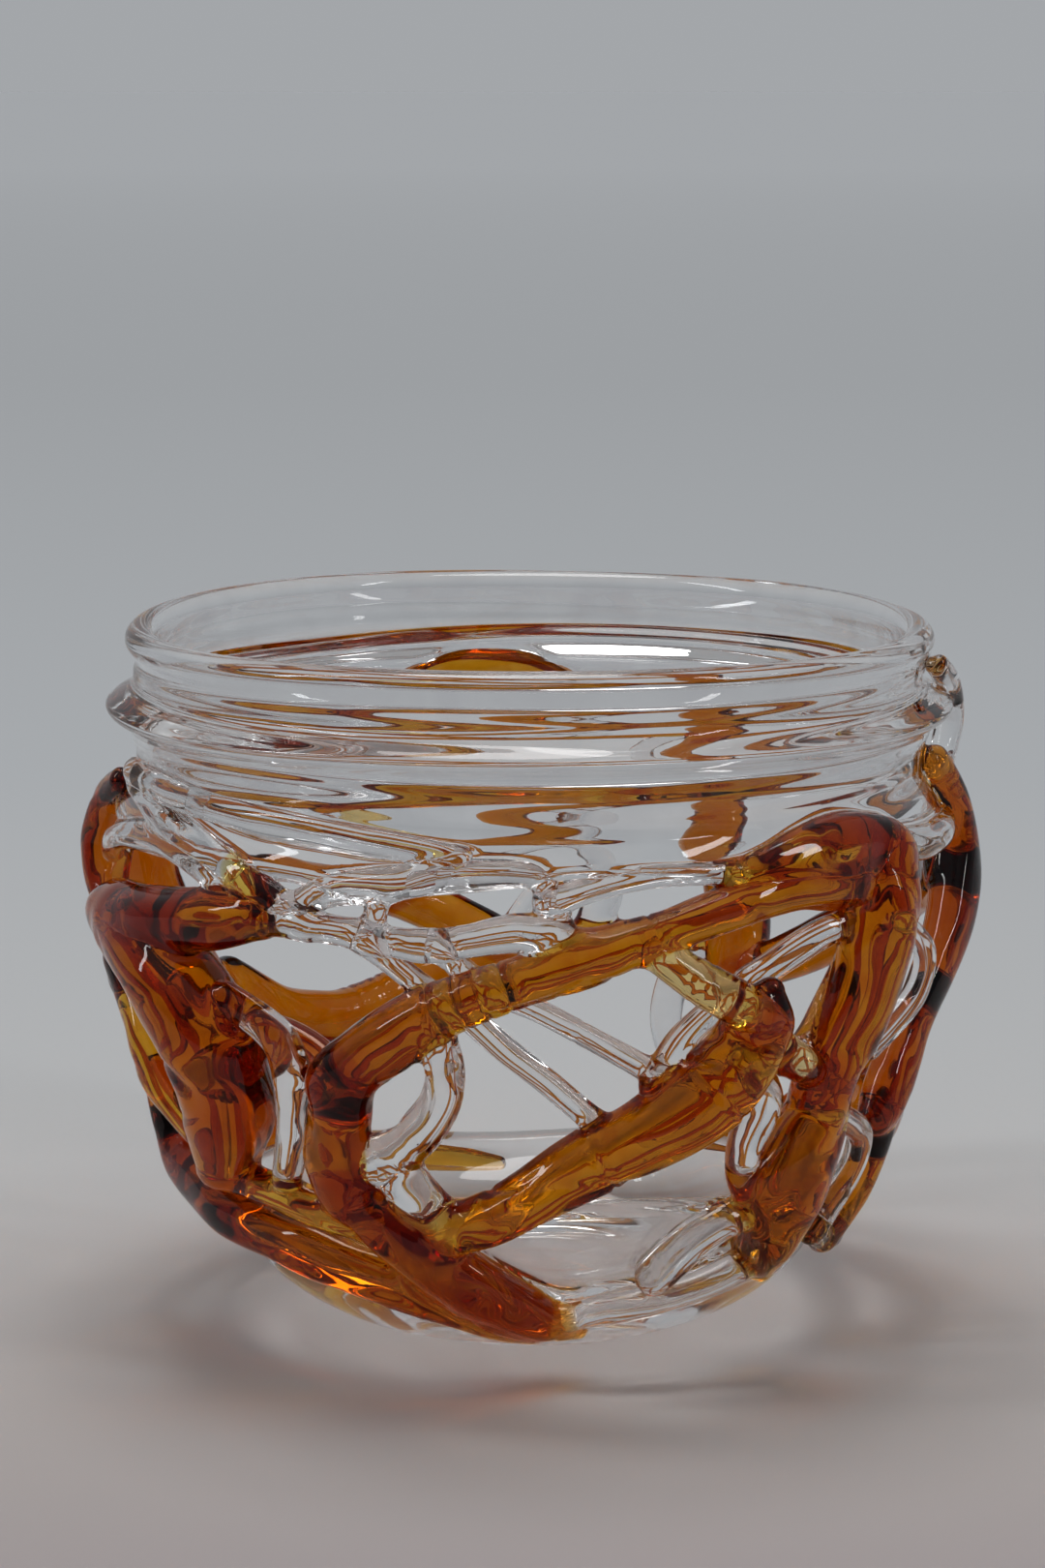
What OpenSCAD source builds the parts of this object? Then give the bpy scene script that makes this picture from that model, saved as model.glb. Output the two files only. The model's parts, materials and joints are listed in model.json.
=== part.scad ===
// Art glass bowl.
// A clear blown neck stands on an openwork lattice of amber and clear canes.
// The canes are fused to each other, to the neck's skirt and to a thick clear dish.
// Millimetres, +Z up, front towards -Y, origin at the centre of the foot.

/* [Bowl] */
// Height over all
bowl_h = 105; // [100:1:110]
// Diameter of the lattice at its widest, through the middle of the canes
belly_d = 125; // [120:1:130]

/* [Neck] */
// Outside diameter of the lip
lip_d = 121; // [118:0.5:124]
// Thickness of the rounded lip
lip_t = 4; // [3.5:0.1:5]
// Wall thickness of the neck and its skirt
wall_t = 2.8; // [2.4:0.1:3.4]
// Outside diameter of the bead round the neck
bead_d = 126.6; // [125:0.1:129]
// Thickness of the bead
bead_t = 5; // [4:0.1:6]
// Depth of the skirt that flares below the neck
skirt_h = 8.5; // [7:0.5:11]

/* [Dish] */
// Diameter of the flat foot
foot_d = 44; // [38:1:50]
// Outside diameter of the dish at its rim
dish_d = 98; // [95:1:101]
// Height at which the dish would stand upright
dish_h = 32; // [30:0.5:34]
// Thickness of the dish's floor
floor_t = 5.5; // [4:0.5:7]
// Wall thickness of the dish at its rim
dish_t = 3; // [2.5:0.1:4]
// Height of the rim at the middle of the dish
rim_z = 21.5; // [20:0.5:22.5]
// Slope of the rim, higher at the front
rim_tilt = 7.5; // [0:0.5:8]

/* [Canes] */
// Factor on every cane's radius
cane_scale = 1; // [0.9:0.01:1.05]
// Sides of a cane's cross-section
cane_sides = 8; // [6:1:10]
// Rings between two points of a route
rings_per_span = 2; // [2:1:3]

/* [Hidden] */
// Size that the routes are drawn for
route_h = 105;
route_belly_d = 125;
z_scale = bowl_h / route_h;
r_scale = belly_d / route_belly_d;

// Radius of the body through the middle of the canes, against height
body_profile = [
    [0, 34], [4, 37.5], [10, 44.2], [15, 47.6], [20, 50], [30, 54], [40, 57], [50, 60.5],
    [60, 62.5], [70, 62.5], [76, 61.5], [82, 60.5], [90, 61], [105, 61]
];

// Neck levels
lip_r = lip_d / 2 - lip_t / 2;
lip_z = bowl_h - lip_t / 2;
bead_z = 93 * z_scale;
bead_r = bead_d / 2 - bead_t / 2;
waist_z = 84 * z_scale;
waist_r = lip_d / 2 - 1.4;
skirt_r = 62.5 * r_scale;
round_fn = 96;

// Routes: each point is [azimuth in degrees, height, stand-off from the body, cane radius].
// Azimuth 0 is the front and grows towards the right.
// Long cane that climbs from the left post to the right column
front_rail_route = [
    [-27, 47, 0, 4.3], [-20, 52.5, 0, 4.4], [-13, 58, 0, 3.9], [-3, 62.5, 0, 3.3],
    [8, 66.5, 0, 3.6], [17, 69.3, 0, 2.8], [26, 72, 0, 2.9], [36, 73.5, 0, 3.3],
    [46, 73, 0, 3.4]
];
// Cane on the shoulder, over the top of the right column
shoulder_arm_route = [
    [27, 76, 0, 1.8], [33, 77, 0.5, 2.8], [42, 78, 0.5, 4], [50, 77.5, 0, 4.6],
    [56, 75, 0, 4]
];
// Thick upright cane on the right of the front
right_column_route = [
    [54, 76, 0, 5], [52.5, 69, 0.5, 5.5], [50.5, 62, 0.5, 5.3], [48.5, 55, 0.5, 5],
    [47, 49, 0, 4.7], [45.5, 43, 0, 3.6]
];
// Leaf-shaped drop below the right column
right_leaf_route = [
    [46, 46, 0, 3.4], [45.5, 39, 0.5, 4.8], [43, 33, 1, 5.9], [41.5, 27, 1, 6.1],
    [42.5, 20, 0.5, 4.8], [44.5, 15, 0, 2.6]
];
// Thick cane that sweeps from the bud down to the left
sweep_route = [
    [31, 55, 0, 4.4], [28, 50, 0.5, 5.2], [23.5, 44.5, 1, 5.7], [17, 40.5, 1, 5.2],
    [11, 37.3, 0.5, 4.6], [4, 33, 0.5, 4.2], [-4, 28, 0.5, 3.9], [-12, 25, 0, 3.2],
    [-18, 23.5, 0, 2.4]
];
// Round dark stub at the top of the sweep
dark_bud_route = [
    [31.5, 60, 1, 2], [31.5, 56.5, 1.5, 3], [31, 53, 1, 2.6]
];
// Short upright cane under the left end of the front rail
left_post_route = [
    [-25, 48, 0.5, 3.9], [-27, 42, 0.5, 4.4], [-29, 35, 0.5, 4.6], [-29, 29, 0, 3.8]
];
// Cane from the left post down to the front of the dish
lower_diagonal_route = [
    [-29, 31, 0, 3.2], [-23, 26, 0.5, 4], [-17, 21, 0.5, 4.3], [-10, 16, 0.5, 4.4],
    [-2, 11.5, 0.5, 3.7], [5, 8.5, 0, 2.4], [10, 7, 0, 1.2]
];
// Lowest cane, round the left of the dish
lower_left_rail_route = [
    [-88, 28, 1, 3], [-78, 24, 0.5, 3.8], [-62, 21, 0, 3.9], [-46, 19.5, 0, 3.7],
    [-32, 17.3, 0.3, 3.6], [-20, 14.5, 0.3, 3.5], [-8, 11, 0, 3.3], [0, 8.5, 0, 2.4]
];
// Thinner cane above the lowest one
lower_left_inner_route = [
    [-62, 27.5, 0, 2.4], [-48, 27.6, 0, 2.5], [-36, 26, 0, 2.6], [-25, 23.8, 0, 2.4]
];
// Cane across the top of the left mass
left_crown_route = [
    [-84, 62, 0, 3.6], [-72, 64, 1, 4.6], [-58, 66, 1, 4.8], [-46, 68, 0.5, 4.2],
    [-37, 69.5, 0, 3]
];
// Heavy folded cane on the left
left_mass_route = [
    [-66, 63, 1, 5.2], [-55, 59, 1.5, 6.4], [-49, 53, 1.5, 6.9], [-47, 46, 1.5, 7.1],
    [-49, 38, 1, 6.5], [-54, 30, 0.5, 4.6]
];
// Dark cane inside, behind the gap beside the left mass
inner_tie_route = [
    [-50, 51, -4, 2.4], [-42, 50.5, -7, 2.8], [-34, 47.5, -7, 3], [-27, 43, -3, 2.6]
];
// Cane behind the left mass
left_outer_route = [
    [-85, 54, 0, 3], [-77, 45, -0.5, 3.6], [-70, 38, 0, 3.6], [-62, 33, 0, 2.8]
];
// Short upright at the left edge
left_heel_route = [
    [-84, 36, 0, 2.6], [-82, 29, 0.5, 3], [-80, 23, 0.5, 2.8]
];
// Arched cane that stands proud of the left edge
far_left_arch_route = [
    [-86, 81, 0.5, 1.9], [-92, 77, 2, 3], [-94, 70, 2.6, 3.3], [-91, 63, 1.5, 2.8],
    [-85, 60, 0, 1.9]
];
// Long cane down the right edge
right_outer_upper_route = [
    [86, 84, 0, 2.2], [90, 76, 2, 3.4], [90, 68, 2, 4.2], [86, 60, 0.8, 4],
    [81, 52, -0.3, 3.6], [76, 45, -0.8, 3.3], [71, 38, -0.3, 3.8], [67, 33.5, 0, 2.8]
];
// Cane from the right edge to the dish
right_outer_lower_route = [
    [70, 35, 0.3, 2.6], [72, 27.5, 0.3, 2.8], [71, 21, 0.3, 3], [65, 15.5, 0, 2.6]
];
// Small drip above the left crown
left_drip_route = [
    [-42, 76, 0, 1.5], [-39, 72.5, 0, 2.3], [-36, 69, 0, 1.9]
];
// Arched cane on the back of the neck
back_arch_route = [
    [212, 73, 0, 3], [203, 82, 1, 3.4], [193, 87, 1.5, 3.6], [182, 87, 1.5, 3.6],
    [171, 83, 1, 3.4], [163, 75, 0, 3]
];
// Long cane that crosses the back from right to left
back_rail_route = [
    [112, 75, 0, 2.8], [124, 80, 0.5, 3.7], [138, 82, 0.5, 3.9], [152, 79, 0.5, 3.6],
    [166, 72, 0.5, 3.4], [179, 65, 0, 3.6], [191, 58, 0, 3.8], [202, 52, 0, 3.4]
];
// Cane that crosses the back rail the other way
back_diagonal_route = [
    [242, 73, 0, 3], [231, 67, 0.5, 3.8], [219, 61, 0.5, 4.2], [207, 55, 0.5, 4],
    [196, 49, 0.5, 3.8], [185, 43, 0, 3.4]
];
// Thick upright cane at the back
back_column_route = [
    [148, 76, 0, 3.4], [150, 68, 0.5, 4.4], [149, 59, 0.5, 4.8], [146, 50, 0.5, 5],
    [144, 41, 0.5, 4.6], [145, 32, 0.3, 4.1], [148, 23, 0.3, 3.6], [150, 16, 0, 2.6]
];
// Cane that sags across the lower back
back_sweep_route = [
    [236, 43, 0, 3], [226, 36, 0.5, 4], [214, 33, 0.5, 4.3], [201, 36, 0.5, 4.2],
    [188, 40, 0.5, 4], [174, 42, 0.5, 3.8], [161, 44, 0.5, 3.4], [149, 48, 0, 3]
];
// Thick upright cane between the back and the left
back_left_column_route = [
    [248, 76, 0, 3.2], [250, 66, 1, 4.4], [248, 56, 1, 5], [244, 46, 1, 5],
    [240, 37, 0.5, 4.3], [238, 28, 0.3, 3.6], [237, 20, 0, 2.8]
];
// Low cane round the right of the back
back_low_right_route = [
    [76, 29, 0, 2.6], [88, 30, 0.3, 3.2], [100, 28.5, 0.3, 3.5], [112, 25, 0.3, 3.6],
    [124, 20.5, 0.3, 3.8], [138, 17, 0.3, 3.6], [152, 13.5, 0.3, 3.1], [163, 11, 0, 2.1],
    [171, 9.5, -0.5, 1.1]
];
// Low cane round the left of the back
back_low_left_route = [
    [268, 27, 0, 2.8], [252, 21, 0.5, 3.6], [236, 17, 0.5, 3.6], [219, 13, 0.5, 3.3],
    [205, 10, 0.3, 2.8], [194, 8.5, 0, 1.9], [187, 8, -0.5, 1.1]
];
// Cane from the right edge to the back column
right_side_arm_route = [
    [90, 67, 0, 3.2], [101, 63, 0.5, 4], [112, 57, 0.5, 4.2], [122, 51, 0.5, 4],
    [133, 45, 0.5, 3.6], [143, 40, 0, 3]
];
// Cane low on the right side
right_side_loop_route = [
    [84, 49, 0, 2.8], [94, 44, 0.5, 3.6], [105, 38, 0.5, 3.8], [115, 30, 0.5, 3.4],
    [122, 22, 0, 2.8]
];
// Cane round the left of the back, just below the neck
back_girdle_route = [
    [212, 77, 0, 2.8], [222, 81.5, 0.5, 3.4], [234, 82.5, 0.5, 3.5], [246, 79, 0.5, 3.2],
    [262, 71, 0, 2.6]
];
// Cane under the arch on the back, just below the neck
back_crown_route = [
    [221, 74, 0, 2.4], [209, 77, 0.3, 3], [196, 78.5, 0.3, 3.2], [182, 77.5, 0.3, 3],
    [169, 75, 0, 2.4]
];
// Cane from the left edge to the back
left_side_arm_route = [
    [-86, 51, 0, 3], [-96, 47, 0.5, 3.8], [-106, 45, 0.5, 3.8], [-116, 43, 0, 3]
];
// Pale stub from the front rail to the bud
yellow_bridge_route = [
    [15.5, 67, 0, 2.4], [21.5, 62.5, 1, 3], [26.5, 59, 1.5, 3.2], [31, 56.5, 1, 3]
];
// Pale stub beside the right column
pale_heel_route = [
    [35, 52, 0, 2], [37.5, 49, 0.5, 2.7], [41.5, 46.5, 0, 2.4]
];
// Pale stub between two canes at the back
back_honey_tie_route = [
    [196, 58, 0, 2.4], [200, 64, 0.5, 2.9], [206, 70, 0.5, 2.8], [210, 76, 0, 2.2]
];
// Upper arm of the hairpin that runs in from the left shoulder
hairpin_upper_route = [
    [-70, 85, 0, 2], [-52, 84, 0.5, 2.1], [-38, 83, 0.5, 2], [-26, 82, 0.5, 1.9],
    [-16, 81, 0.5, 1.7], [-9, 79.5, 0, 1.5]
];
// Lower arm of the hairpin
hairpin_lower_route = [
    [-9, 79.5, 0, 1.5], [-14, 77, 0.5, 1.9], [-20, 75.5, 0.5, 2.1], [-27, 74, 0.5, 2],
    [-33, 71, 0, 1.8]
];
// Upper rim of the oval hole
oval_rim_route = [
    [-20, 69, 0, 1.7], [-19, 74, 0, 1.7], [-13, 77, 0, 1.7], [-5, 78, 0, 1.6],
    [1, 77, 0, 1.6], [4, 71, 0, 1.6]
];
// Level cane under the oval hole
girdle_route = [
    [-40, 69, 0, 2], [-31, 69.5, 0.5, 2], [-22, 69, 0.5, 2], [-14, 68, 0.5, 1.9],
    [-7, 69, 0.5, 2.2], [-1, 70, 0, 2.6], [7, 68, 0, 2.2]
];
// Thin cane from the oval rim to the shoulder arm
link_route = [
    [2, 74, 0, 1.9], [9, 76, 0, 1.7], [17, 77, 0, 1.5], [28, 76.5, 0, 1.5]
];
// Left one of two fine rods behind the front rail
left_strand_route = [
    [-21, 68, 0, 1.7], [-15, 62, -3, 1.7], [-9, 57, -5, 1.8], [-3, 51.5, -5, 1.8],
    [3, 47, -4, 1.8], [10, 41, -1, 1.7]
];
// Right one of the two fine rods
right_strand_route = [
    [-12, 68, 0, 1.6], [-6, 62, -3, 1.6], [1, 58, -5, 1.6], [8, 54, -5, 1.6],
    [15, 50, -4, 1.7], [20, 47, -1, 1.7]
];
// Cane from the right column back to the sweep
long_brace_route = [
    [49, 68, 0, 1.8], [42, 66, -2, 2], [36, 62.5, -4, 2], [29, 58, -5, 2],
    [22, 53, -4, 2.2], [17, 47, -1, 2]
];
// Cane beside the long brace
short_brace_route = [
    [51, 66, -1, 1.7], [48, 60, -3, 1.8], [45, 54, -3, 1.9], [40, 49, -2, 2],
    [32, 50, -1, 2]
];
// Thick clear hook beside the left post
hook_route = [
    [-13, 57, -1, 2.6], [-11.5, 50, -1, 2.9], [-13, 44, -1, 3], [-17, 39, -1, 3.2],
    [-22, 35, -0.5, 3.4]
];
// Foot of the hook, down to the sweep
hook_foot_route = [
    [-21, 36, -0.5, 3], [-17, 30, -0.5, 3.2], [-12, 25.5, 0, 2.6]
];
// Thick clear cane on the front of the dish
toe_route = [
    [40, 25.5, 0, 2.4], [32, 24.5, 0.3, 2.8], [26, 21.5, 0.5, 3], [21.5, 16.5, 0.3, 2.9]
];
// Clear cane along the bottom edge, right of the lowest canes
toe_rail_route = [
    [4, 9.5, 0, 1.8], [14, 11, 0, 2.3], [26, 12.5, 0, 2.3], [38, 15, 0, 2.3],
    [50, 20, 0, 2]
];
// Clear cane below the hairpin
left_shoulder_a_route = [
    [-69, 83, 0, 1.8], [-57, 80, 0.5, 2], [-46, 77, 0.5, 2], [-38, 74, 0.5, 2],
    [-31, 71, 0, 1.8]
];
// Clear cane on the left shoulder
left_shoulder_b_route = [
    [-88, 70, 0, 1.8], [-74, 75, 0.5, 2.1], [-58, 77, 0.5, 2], [-47, 75, 0.5, 2],
    [-40, 71, 0, 1.8]
];
// Clear cane down the left edge
left_edge_route = [
    [-90, 62, 0, 1.8], [-87, 55, 0.5, 2], [-85, 47, 0.5, 2], [-84, 38, 0, 1.9]
];
// Clear loop that stands proud of the neck on the right
right_ear_route = [
    [80, 99, 0, 1.7], [88, 95, 1.5, 2], [92, 89, 2.5, 2.2], [89, 82, 1, 2]
];
// Clear cane beside the right column
right_sliver_route = [
    [57, 66, 0, 1.6], [65, 60, 0.5, 1.7], [65, 53, 0.5, 1.7], [55, 47, 0, 1.7]
];
// Clear fold between the sweep and the leaf
right_fold_route = [
    [30, 49, -1, 2.4], [35, 43, -1, 3], [34, 37, -1, 2.8], [34, 31, -0.5, 2.3],
    [40, 24, 0, 2]
];
// Clear fold between the leaf and the right edge
right_fold_low_route = [
    [50, 38, 0, 2], [60, 33, 0.5, 2], [62.5, 26, 0.5, 2], [57, 18, 0, 2.2]
];
// Clear tie from the shoulder arm to the right edge
right_tie_route = [
    [55, 77, 0, 2], [66, 75.5, 0.5, 2.4], [78, 75, 0.5, 2.2], [88, 74, 0, 2]
];
// Fine rod behind the back canes
back_strand_route = [
    [163, 73, 0, 1.8], [168, 66, -3, 1.8], [174, 58, -4, 1.8], [180, 50, -4, 1.8],
    [185, 43, -2, 1.8], [188, 39, 0, 1.8]
];
// Clear fold between the left mass and the left post
left_fold_route = [
    [-44, 57, -0.5, 2.2], [-36, 52, -1, 2.6], [-35, 45, -1, 2.9], [-37, 38, -1, 2.7],
    [-40, 30, 0, 2.2]
];
// Clear cane below the neck, from the right edge to the back column
side_girdle_route = [
    [91, 71, 0, 2], [104, 69, 0.5, 2.1], [117, 68, 0.5, 2.1], [132, 69, 0.5, 2.1],
    [150, 70.5, 0, 2]
];
// Fine rod on the right side
side_strand_route = [
    [100, 64, 0, 1.6], [106, 55, -2, 1.7], [111, 46, -2, 1.7], [113, 35, 0, 1.6]
];
// Thick clear hook at the back
back_hook_route = [
    [178, 64, -1, 2.4], [171, 58, -1, 3], [168, 51, -1, 3.2], [171, 43, -1, 2.8]
];
// Clear fold beside the back column
back_fold_route = [
    [148, 46, 0, 2], [154, 40, -1, 2.4], [155, 31, -1, 2.4], [150, 21, 0, 2]
];
// Clear loop between the left edge and the back
left_back_loop_route = [
    [262, 72, 0, 2], [269, 64, 0.5, 2.2], [271, 55, 0.5, 2.2], [266, 46, 0, 2]
];
// Clear fold low on the left
left_back_fold_route = [
    [262, 47, 0, 2.2], [257, 39, -1, 2.6], [257, 31, -1, 2.4], [261, 23, 0, 2]
];
// Clear cane along the bottom edge on the right
side_toe_rail_route = [
    [60, 17, 0, 2], [74, 14, 0, 2.3], [90, 13, 0, 2.3], [106, 13, 0, 2.3], [122, 18, 0, 2]
];

module amber() color([0.80, 0.38, 0.05]) children();
module honey() color([0.88, 0.68, 0.25]) children();
module clear() color([0.85, 0.92, 0.95, 0.5]) children();

// A route point as [x, y, z, radius]
function place(p) =
    let (r = (lookup(p[1], body_profile) + p[2]) * r_scale)
    [r * sin(p[0]), -r * cos(p[0]), p[1] * z_scale, p[3] * cane_scale];

// Smooth curve through b and c, with a and d as their neighbours
function blend(a, b, c, d, t) =
    (2 * b + (c - a) * t + (2 * a - 5 * b + 4 * c - d) * t * t + (3 * b - a - 3 * c + d) * t * t * t) / 2;

// The point before the first and after the last, so that the curve keeps its direction
function padded(p) =
    let (last = len(p) - 1)
    concat([2 * p[0] - p[1]], p, [2 * p[last] - p[last - 1]]);

// Points of the smooth curve along a route
function smooth(p) =
    let (q = padded(p), spans = len(p) - 1)
    concat(
        [for (i = [0 : spans - 1], k = [0 : rings_per_span - 1])
            blend(q[i], q[i + 1], q[i + 2], q[i + 3], k / rings_per_span)],
        [p[spans]]
    );

function xyz(p) = [p[0], p[1], p[2]];
function unit(v) = v / norm(v);

// Direction of the curve at point i
function heading(c, i) =
    let (a = max(i - 1, 0), b = min(i + 1, len(c) - 1))
    unit(xyz(c[b]) - xyz(c[a]));

// One ring of points round a centre, square to a direction
function ring(centre, along, r) =
    let (
        radial = unit([centre[0], centre[1], 0]),
        out = unit(radial - (radial * along) * along),
        side = cross(along, out)
    )
    [for (s = [0 : cane_sides - 1])
        let (a = 360 * s / cane_sides)
        centre + r * (cos(a) * out + sin(a) * side)];

// Two rings that round off an end; sign is -1 at the start and 1 at the finish
function end_rings(p, along, sign) =
    let (angles = sign < 0 ? [65, 35] : [35, 65])
    [for (a = angles) each ring(xyz(p) + sign * p[3] * sin(a) * along, along, p[3] * cos(a))];

// A round cane swept along a route, as one closed solid
module cane(route) {
    curve = smooth([for (p = route) place(p)]);
    last = len(curve) - 1;
    start = heading(curve, 0);
    finish = heading(curve, last);
    rings = last + 5;
    points = concat(
        [xyz(curve[0]) - curve[0][3] * start],
        end_rings(curve[0], start, -1),
        [for (i = [0 : last]) each ring(xyz(curve[i]), heading(curve, i), curve[i][3])],
        end_rings(curve[last], finish, 1),
        [xyz(curve[last]) + curve[last][3] * finish]
    );
    n = cane_sides;
    tip = len(points) - 1;
    faces = concat(
        [for (s = [0 : n - 1]) [0, 1 + (s + 1) % n, 1 + s]],
        [for (k = [0 : rings - 2], s = [0 : n - 1])
            let (a = 1 + k * n + s, b = 1 + k * n + (s + 1) % n)
            each [[a, b, b + n], [a, b + n, a + n]]],
        [for (s = [0 : n - 1])
            let (base = 1 + (rings - 1) * n)
            [tip, base + s, base + (s + 1) % n]]
    );
    polyhedron(points = points, faces = faces);
}

// Rounded lip at the mouth
module lip_ring() clear()
    rotate_extrude($fn = round_fn)
        translate([lip_r, lip_z]) circle(d = lip_t, $fn = 32);

// Upright wall between the lip and the waist
module neck_wall() clear()
    rotate_extrude($fn = round_fn)
        translate([waist_r - wall_t, waist_z]) square([wall_t, lip_z - waist_z]);

// Bead round the neck
module neck_bead() clear()
    rotate_extrude($fn = round_fn)
        translate([bead_r, bead_z]) circle(d = bead_t, $fn = 32);

// Radius of the skirt's outside, a fraction f of the way down it
function skirt_out(f) = waist_r + (skirt_r - waist_r) * (1 - cos(180 * f)) / 2;

// Skirt that flares from the waist down over the tops of the canes
module skirt_section() {
    steps = [0 : 0.125 : 1];
    polygon(concat(
        [for (f = steps) [skirt_out(f), waist_z - f * skirt_h]],
        [for (f = steps) [skirt_out(1 - f) - wall_t, waist_z - (1 - f) * skirt_h]]
    ));
}

module shoulder_skirt() clear()
    rotate_extrude($fn = round_fn) skirt_section();

// Quarter curve from a flat floor up to an upright wall
function cup(r0, r1, z0, z1, a) = [r0 + (r1 - r0) * sin(a), z1 - (z1 - z0) * cos(a)];

// Section of the dish before its rim is cut
module dish_section() {
    foot_r = foot_d / 2;
    rim_r = dish_d / 2;
    angles = [0 : 9 : 90];
    polygon(concat(
        [[0, 0]],
        [for (a = angles) cup(foot_r, rim_r, 0, dish_h, a)],
        [for (a = angles) cup(foot_r - dish_t, rim_r - dish_t, floor_t, dish_h, 90 - a)],
        [[0, floor_t]]
    ));
}

// Thick clear dish with a sloping rim
module base_dish() clear()
    difference() {
        rotate_extrude($fn = round_fn) dish_section();
        translate([0, 0, rim_z]) rotate([-rim_tilt, 0, 0])
            translate([-dish_d, -dish_d, 0]) cube([2 * dish_d, 2 * dish_d, dish_h]);
    }

module front_rail() amber() cane(front_rail_route);
module shoulder_arm() amber() cane(shoulder_arm_route);
module right_column() amber() cane(right_column_route);
module right_leaf() amber() cane(right_leaf_route);
module sweep() amber() cane(sweep_route);
module dark_bud() amber() cane(dark_bud_route);
module left_post() amber() cane(left_post_route);
module lower_diagonal() amber() cane(lower_diagonal_route);
module lower_left_rail() amber() cane(lower_left_rail_route);
module lower_left_inner() amber() cane(lower_left_inner_route);
module left_crown() amber() cane(left_crown_route);
module left_mass() amber() cane(left_mass_route);
module inner_tie() amber() cane(inner_tie_route);
module left_outer() amber() cane(left_outer_route);
module left_heel() amber() cane(left_heel_route);
module far_left_arch() amber() cane(far_left_arch_route);
module right_outer_upper() amber() cane(right_outer_upper_route);
module right_outer_lower() amber() cane(right_outer_lower_route);
module left_drip() amber() cane(left_drip_route);
module back_arch() amber() cane(back_arch_route);
module back_rail() amber() cane(back_rail_route);
module back_diagonal() amber() cane(back_diagonal_route);
module back_column() amber() cane(back_column_route);
module back_sweep() amber() cane(back_sweep_route);
module back_left_column() amber() cane(back_left_column_route);
module back_low_right() amber() cane(back_low_right_route);
module back_low_left() amber() cane(back_low_left_route);
module right_side_arm() amber() cane(right_side_arm_route);
module right_side_loop() amber() cane(right_side_loop_route);
module back_girdle() amber() cane(back_girdle_route);
module back_crown() amber() cane(back_crown_route);
module left_side_arm() amber() cane(left_side_arm_route);

module yellow_bridge() honey() cane(yellow_bridge_route);
module pale_heel() honey() cane(pale_heel_route);
module back_honey_tie() honey() cane(back_honey_tie_route);

module hairpin_upper() clear() cane(hairpin_upper_route);
module hairpin_lower() clear() cane(hairpin_lower_route);
module oval_rim() clear() cane(oval_rim_route);
// Clear canes that run level under the neck
module girdles() clear() {
    cane(girdle_route);
    cane(side_girdle_route);
}
module link() clear() cane(link_route);
// Fine rods behind the front rail, on the right side and at the back
module fine_rods() clear() {
    cane(left_strand_route);
    cane(right_strand_route);
    cane(side_strand_route);
    cane(back_strand_route);
}
module long_brace() clear() cane(long_brace_route);
module short_brace() clear() cane(short_brace_route);
// Thick clear hooks
module hooks() clear() {
    cane(hook_route);
    cane(back_hook_route);
}
module hook_foot() clear() cane(hook_foot_route);
module toe() clear() cane(toe_route);
// Clear canes along the bottom edge
module toe_rails() clear() {
    cane(toe_rail_route);
    cane(side_toe_rail_route);
}
module left_shoulder_a() clear() cane(left_shoulder_a_route);
module left_shoulder_b() clear() cane(left_shoulder_b_route);
module left_edge() clear() cane(left_edge_route);
// Clear loops on the right and the left
module loops() clear() {
    cane(right_ear_route);
    cane(left_back_loop_route);
}
module right_sliver() clear() cane(right_sliver_route);
module right_fold() clear() cane(right_fold_route);
// Clear folds between the thick canes
module folds() clear() {
    cane(left_fold_route);
    cane(right_fold_low_route);
    cane(back_fold_route);
    cane(left_back_fold_route);
}
module right_tie() clear() cane(right_tie_route);

lip_ring();
neck_wall();
neck_bead();
shoulder_skirt();
base_dish();
front_rail();
shoulder_arm();
right_column();
right_leaf();
sweep();
dark_bud();
left_post();
lower_diagonal();
lower_left_rail();
lower_left_inner();
left_crown();
left_mass();
inner_tie();
left_outer();
left_heel();
far_left_arch();
right_outer_upper();
right_outer_lower();
left_drip();
back_arch();
back_rail();
back_diagonal();
back_column();
back_sweep();
back_left_column();
back_low_right();
back_low_left();
right_side_arm();
right_side_loop();
back_girdle();
back_crown();
left_side_arm();
yellow_bridge();
pale_heel();
back_honey_tie();
hairpin_upper();
hairpin_lower();
oval_rim();
girdles();
link();
fine_rods();
long_brace();
short_brace();
hooks();
hook_foot();
toe();
toe_rails();
left_shoulder_a();
left_shoulder_b();
left_edge();
loops();
right_sliver();
right_fold();
folds();
right_tie();
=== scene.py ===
import json
import math

import bpy
import numpy as np
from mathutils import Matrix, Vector
from mathutils.kdtree import KDTree


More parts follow.
